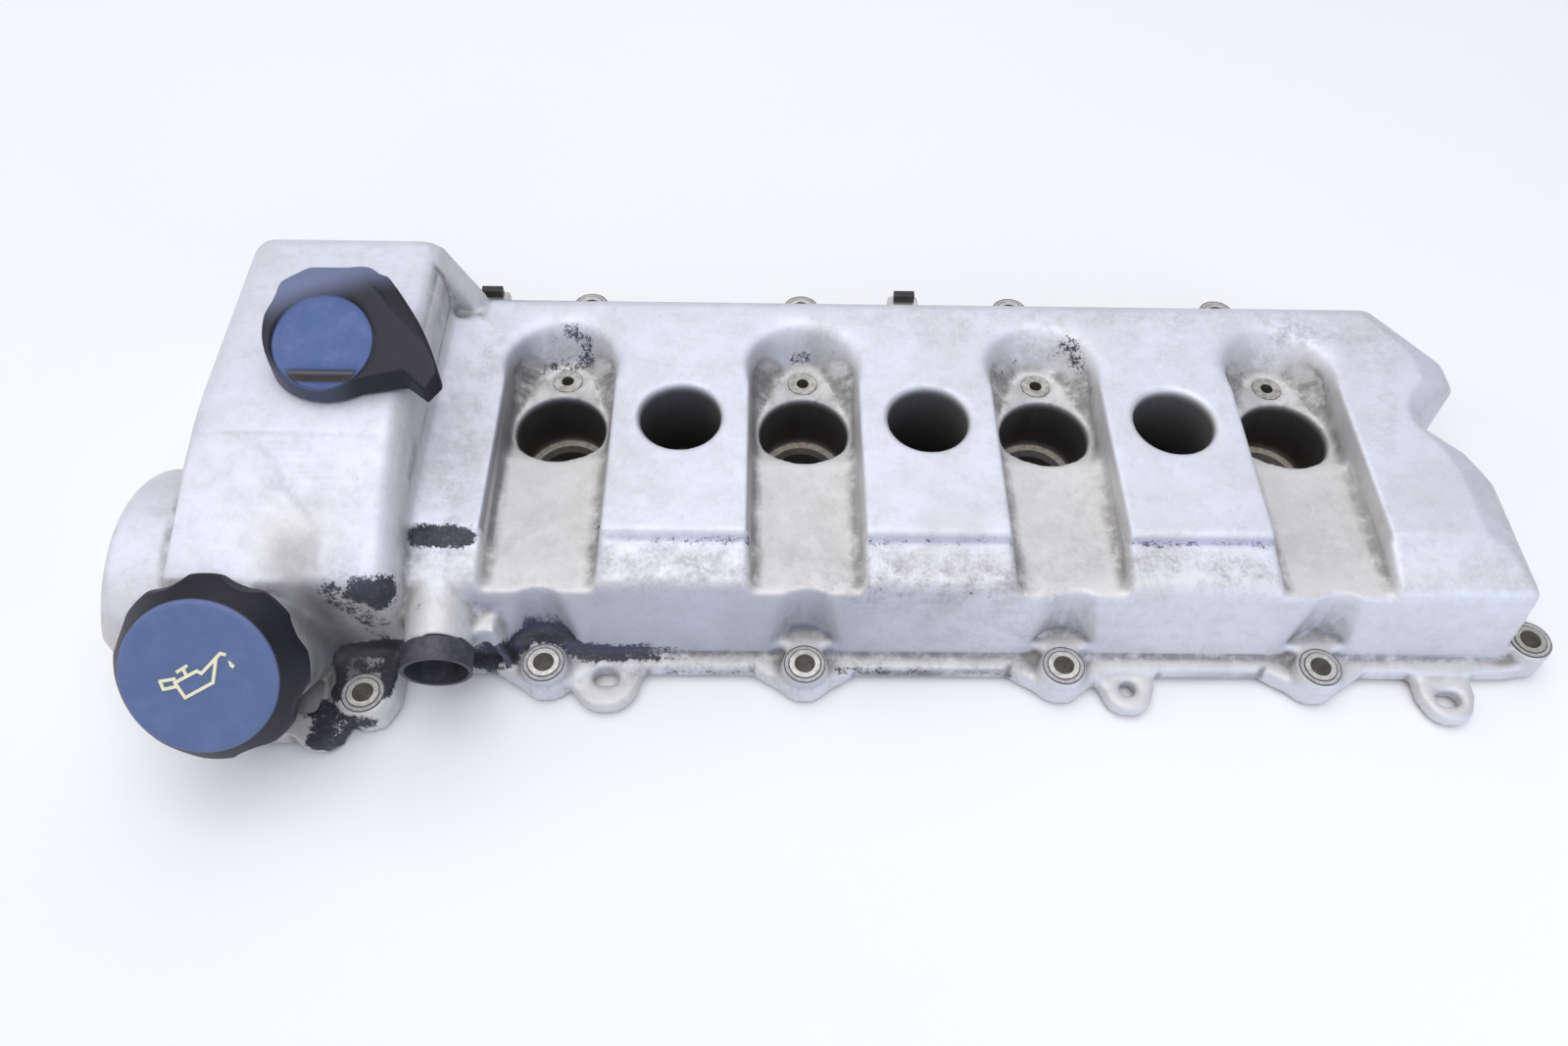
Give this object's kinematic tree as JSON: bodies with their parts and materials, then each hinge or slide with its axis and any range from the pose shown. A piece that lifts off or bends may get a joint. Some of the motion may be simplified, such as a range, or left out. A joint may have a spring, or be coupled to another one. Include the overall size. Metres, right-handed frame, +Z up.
{
  "type": "engine valve cover",
  "caption": "Cast valve cover with coil wells, bolt bosses, chain case dome, oil filler cap, lever cap and breather tube.",
  "frame": {"origin": "axis of the front row's second bolt, on the cast flange's flat underside", "axes": "+X along the engine away from the chain case, +Y from the front bolt row to the rear one, +Z up out of the head"},
  "size_m": [0.5568, 0.2506, 0.1078],
  "materials": {
    "cast_alloy": "satin silver paint over a rough casting, stained and oily",
    "gasket_rubber": "matte",
    "sleeve_steel": "plain, slightly stained",
    "grommet_rubber": "matte, dusty",
    "insert_steel": "dull",
    "seal_rubber": "matte, brown",
    "cap_seal_rubber": "matte",
    "cap_plastic": "satin, blue-black",
    "symbol_paint": "cream-yellow print",
    "breather_plastic": "oily",
    "baffle_steel": "dull",
    "clip_steel": "bright",
    "clip_plastic": "satin"
  },
  "bodies": {
    "housing": {"cover": "cast_alloy", "gasket": "gasket_rubber", "sleeve_front_1": "sleeve_steel", "sleeve_front_2": "sleeve_steel", "sleeve_front_3": "sleeve_steel", "sleeve_front_4": "sleeve_steel", "sleeve_front_5": "sleeve_steel", "sleeve_front_6": "sleeve_steel", "sleeve_rear_1": "sleeve_steel", "sleeve_rear_2": "sleeve_steel", "sleeve_rear_3": "sleeve_steel", "sleeve_rear_4": "sleeve_steel", "sleeve_rear_5": "sleeve_steel", "sleeve_rear_6": "sleeve_steel", "grommet_front_1": "grommet_rubber", "grommet_front_2": "grommet_rubber", "grommet_front_3": "grommet_rubber", "grommet_front_4": "grommet_rubber", "grommet_front_5": "grommet_rubber", "grommet_front_6": "grommet_rubber", "grommet_rear_1": "grommet_rubber", "grommet_rear_2": "grommet_rubber", "grommet_rear_3": "grommet_rubber", "grommet_rear_4": "grommet_rubber", "grommet_rear_5": "grommet_rubber", "grommet_rear_6": "grommet_rubber", "insert_1": "insert_steel", "insert_2": "insert_steel", "insert_3": "insert_steel", "insert_4": "insert_steel", "tube_seal_1": "seal_rubber", "tube_seal_2": "seal_rubber", "tube_seal_3": "seal_rubber", "tube_seal_4": "seal_rubber", "middle_seal_1": "seal_rubber", "middle_seal_2": "seal_rubber", "middle_seal_3": "seal_rubber", "breather_end": "breather_plastic", "baffle": "baffle_steel", "baffle_screws": "baffle_steel", "clip_left": "clip_steel", "clip_block_left": "clip_plastic", "clip_right": "clip_steel", "clip_block_right": "clip_plastic"},
    "cap_ring": {"cap_seal": "cap_seal_rubber"},
    "cap": {"oil_cap": "cap_plastic", "cap_plug": "cap_plastic", "oil_symbol": "symbol_paint"},
    "lever_ring": {"lever_seal": "cap_seal_rubber"},
    "lever": {"lever_cap": "cap_plastic", "lever_plug": "cap_plastic"}
  },
  "joints": [
    {"name": "cap_lift", "type": "slide", "parent": "housing", "child": "cap_ring", "axis": [0, -0.7254, 0.6884], "range_m": [0, 0.06]},
    {"name": "cap_turn", "type": "hinge", "parent": "cap_ring", "child": "cap", "pos_m": [-0.1062, -0.0202, 0.0482], "axis": [0, -0.7254, 0.6884], "range_deg": [0, 90]},
    {"name": "lever_lift", "type": "slide", "parent": "housing", "child": "lever_ring", "axis": [0, 0, 1], "range_m": [0, 0.04]},
    {"name": "lever_turn", "type": "hinge", "parent": "lever_ring", "child": "lever", "pos_m": [-0.0785, 0.0943, 0.082], "axis": [0, 0, 1], "range_deg": [0, 90]}
  ]
}
